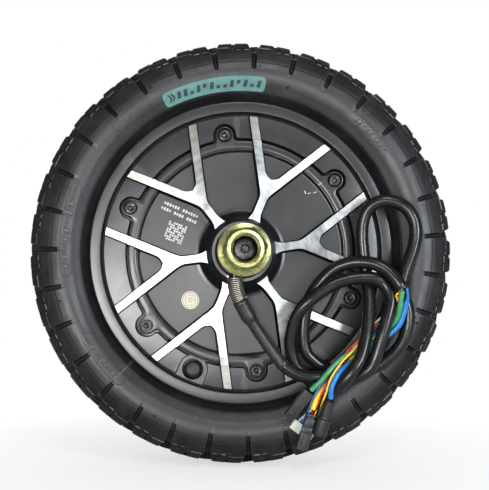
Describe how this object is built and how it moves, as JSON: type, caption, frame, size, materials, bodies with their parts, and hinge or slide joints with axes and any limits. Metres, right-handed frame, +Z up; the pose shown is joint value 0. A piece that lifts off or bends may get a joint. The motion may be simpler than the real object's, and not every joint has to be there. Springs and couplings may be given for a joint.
{
  "type": "hub motor wheel",
  "caption": "Scooter wheel with a brushless motor in its hub: off-road tyre, spoked black rim, threaded axle with nuts, coiled motor lead with loose plugs.",
  "frame": {"origin": "centre of the wheel: on the wheel axis, in the tyre's mid plane", "axes": "Y along the wheel axis, with the cable side towards -Y; +Z up, X across the wheel"},
  "size_m": [0.2548, 0.1424, 0.2549],
  "materials": {
    "tyre": "matte black tyre rubber",
    "painted": "satin black paint over cast aluminium, spoke tops machined bright",
    "dark_steel": "black oxide steel",
    "bright_steel": "ground bearing steel",
    "zinc": "yellow passivated zinc plate",
    "rubber": "black rubber",
    "aluminium": "cast aluminium",
    "magnet": "nickel plated magnets",
    "laminations": "laminated steel",
    "copper": "enamelled copper wire",
    "board": "circuit board",
    "cage": "steel balls in a brass cage",
    "cable": "glossy black cable jacket",
    "spring": "plated spring wire",
    "blue": "blue wire insulation",
    "green": "green wire insulation",
    "yellow": "yellow wire insulation",
    "red": "red wire insulation",
    "white": "white plastic",
    "black_plastic": "black plastic housing"
  },
  "bodies": {
    "axle": {"axle": "dark_steel", "stator_carrier": "aluminium", "stator_core": "laminations", "stator_winding": "copper", "hall_sensor_board": "board", "front_bearing_inner_race": "bright_steel", "rear_bearing_inner_race": "bright_steel", "front_spacer": "bright_steel", "rear_spacer": "bright_steel", "front_axle_nut": "zinc", "rear_axle_nut": "zinc", "main_cable": "cable", "cable_guard_spring": "spring", "cable_sleeve": "cable", "wire_phase_blue": "blue", "wire_phase_green": "green", "wire_phase_yellow": "yellow", "wire_hall_yellow": "yellow", "wire_hall_red": "red", "wire_hall_white": "white", "wire_hall_green": "green", "wire_hall_blue": "blue", "wire_hall_black": "cable", "connector_phase_yellow": "black_plastic", "connector_phase_blue": "rubber", "connector_phase_green": "black_plastic", "connector_hall": "white"},
    "wheel": {"tyre": "tyre", "rim": "painted", "front_cover": "painted", "rear_cover": "painted", "front_cover_screw_1": "dark_steel", "front_cover_screw_2": "dark_steel", "front_cover_screw_3": "dark_steel", "front_cover_screw_4": "dark_steel", "front_cover_screw_5": "dark_steel", "front_cover_screw_6": "dark_steel", "rear_cover_screw_1": "dark_steel", "rear_cover_screw_2": "dark_steel", "rear_cover_screw_3": "dark_steel", "rear_cover_screw_4": "dark_steel", "rear_cover_screw_5": "dark_steel", "rear_cover_screw_6": "dark_steel", "flux_ring": "bright_steel", "magnet_ring": "magnet", "front_bearing_outer_race": "bright_steel", "rear_bearing_outer_race": "bright_steel", "front_oil_seal": "rubber", "rear_oil_seal": "rubber", "valve_stem": "rubber"},
    "front_cage": {"front_ball_cage": "cage"},
    "rear_cage": {"rear_ball_cage": "cage"},
    "valve_pin": {"valve_pin": "bright_steel"},
    "valve_cap": {"valve_cap": "rubber"}
  },
  "joints": [
    {"name": "wheel_spin", "type": "hinge", "parent": "axle", "child": "wheel", "pos_m": [0, 0, 0], "axis": [0, 1, 0], "continuous": true},
    {"name": "front_cage_spin", "type": "hinge", "parent": "axle", "child": "front_cage", "pos_m": [0, -0.019, 0], "axis": [0, 1, 0], "continuous": true},
    {"name": "rear_cage_spin", "type": "hinge", "parent": "axle", "child": "rear_cage", "pos_m": [0, 0.019, 0], "axis": [0, 1, 0], "continuous": true},
    {"name": "valve_pin_slide", "type": "slide", "parent": "wheel", "child": "valve_pin", "axis": [-0.0471, 0.9923, -0.1148], "range_m": [0, 0.0012]},
    {"name": "valve_cap_off", "type": "slide", "parent": "wheel", "child": "valve_cap", "axis": [0.0471, -0.9923, 0.1148], "range_m": [0, 0.0075]}
  ],
  "couplings": [
    {"joint": "front_cage_spin", "follows": "wheel_spin", "ratio": 0.6182},
    {"joint": "rear_cage_spin", "follows": "wheel_spin", "ratio": 0.6182}
  ]
}
